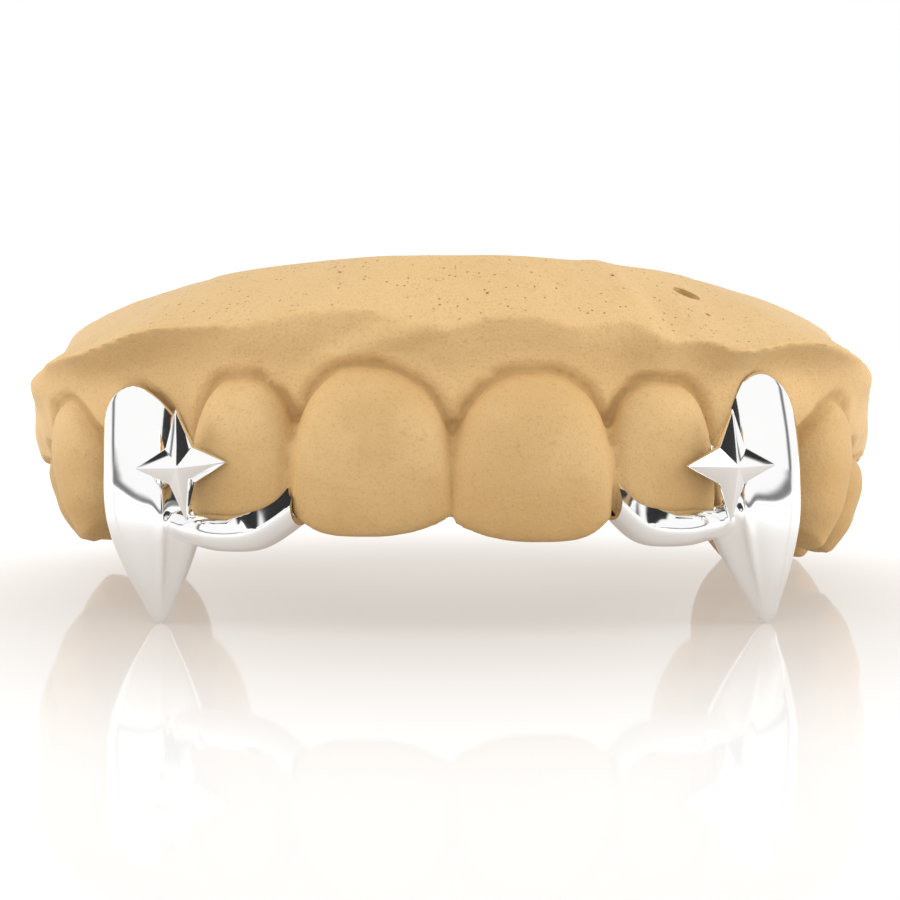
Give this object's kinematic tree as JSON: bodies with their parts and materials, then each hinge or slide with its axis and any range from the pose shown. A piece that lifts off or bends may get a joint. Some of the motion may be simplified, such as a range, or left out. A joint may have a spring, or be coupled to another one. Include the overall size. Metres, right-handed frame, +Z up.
{
  "type": "pair of fang caps on a plaster dental cast",
  "caption": "Pair of polished silver fang caps, each with a pointed star and a bar along the next tooth's edge, seated on a tan plaster cast of an upper dental arch.",
  "frame": {"origin": "middle of the bounding box's underside, on the surface that the fang tips and rear molars stand on", "axes": "+X to the viewer's right across the arch, +Y from the front teeth to the open back of the arch, +Z up from the teeth to the ground base"},
  "size_m": [0.0648, 0.0476, 0.0222],
  "materials": {
    "plaster": "dry tan dental plaster, matt, with fine grain and pin holes in the ground bevel",
    "silver": "mirror-polished silver"
  },
  "bodies": {
    "root": {"plaster_cast": "plaster", "fang_cap_left": "silver", "fang_cap_right": "silver"}
  },
  "joints": []
}
